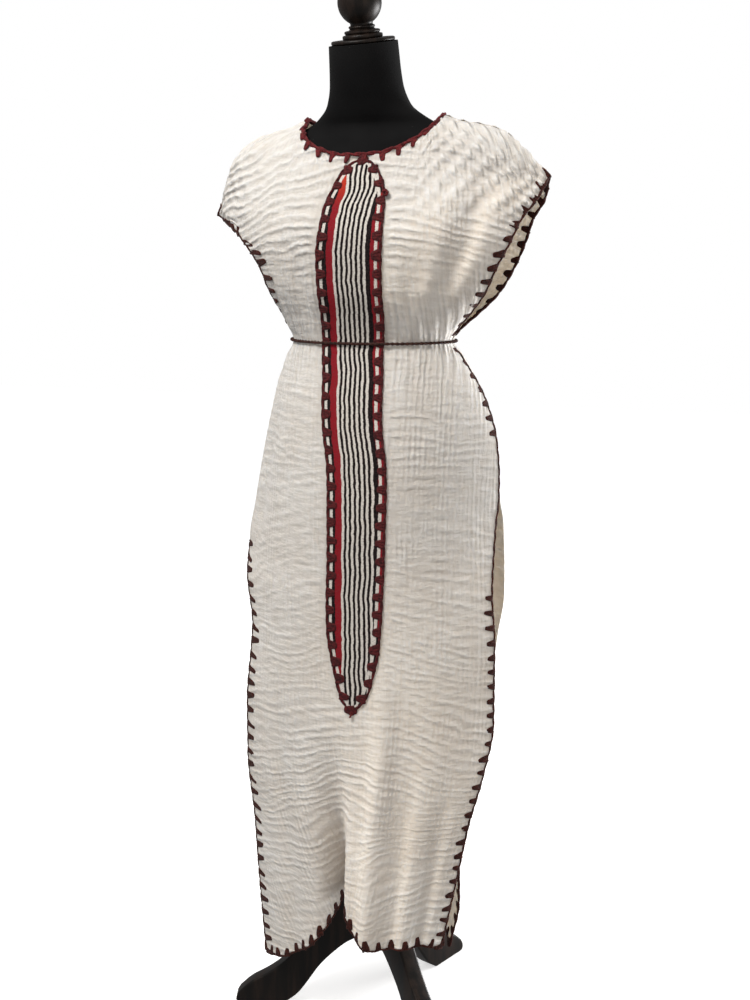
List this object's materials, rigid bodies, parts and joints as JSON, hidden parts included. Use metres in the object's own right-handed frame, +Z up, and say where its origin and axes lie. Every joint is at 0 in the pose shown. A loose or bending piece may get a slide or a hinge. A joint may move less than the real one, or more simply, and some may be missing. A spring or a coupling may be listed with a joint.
{
  "type": "habesha kemis dress on a limbless dress form",
  "caption": "Off-white crinkled cotton dress with a striped woven centre band and blanket-stitched edges, tied at the waist on a black dress form with a tripod stand.",
  "frame": {"origin": "on the floor below the middle of the whole object's box", "axes": "+Z up, the dress's front faces -Y and the wearer's left is +X"},
  "size_m": [0.5349, 0.3802, 1.6449],
  "materials": {
    "gauze": "crinkled cotton gauze, matte, off-white",
    "striped_weave": "hand-woven cotton with black, white and crimson stripes",
    "brown_yarn": "thick twisted yarn, matte",
    "black_jersey": "matte black stretch jersey",
    "dark_wood": "dark stained wood, satin",
    "dark_metal": "black painted steel tube, satin"
  },
  "bodies": {
    "root": {"front_panel": "gauze", "back_panel": "gauze", "centre_band": "striped_weave", "waist_cord": "brown_yarn", "waist_knot": "brown_yarn", "form_torso": "black_jersey", "neck_plate": "dark_wood", "finial": "dark_wood", "stand_pole": "dark_metal", "stand_hub": "dark_wood", "stand_leg_front": "dark_wood", "stand_leg_side": "dark_wood", "stand_leg_back": "dark_wood"}
  },
  "joints": []
}
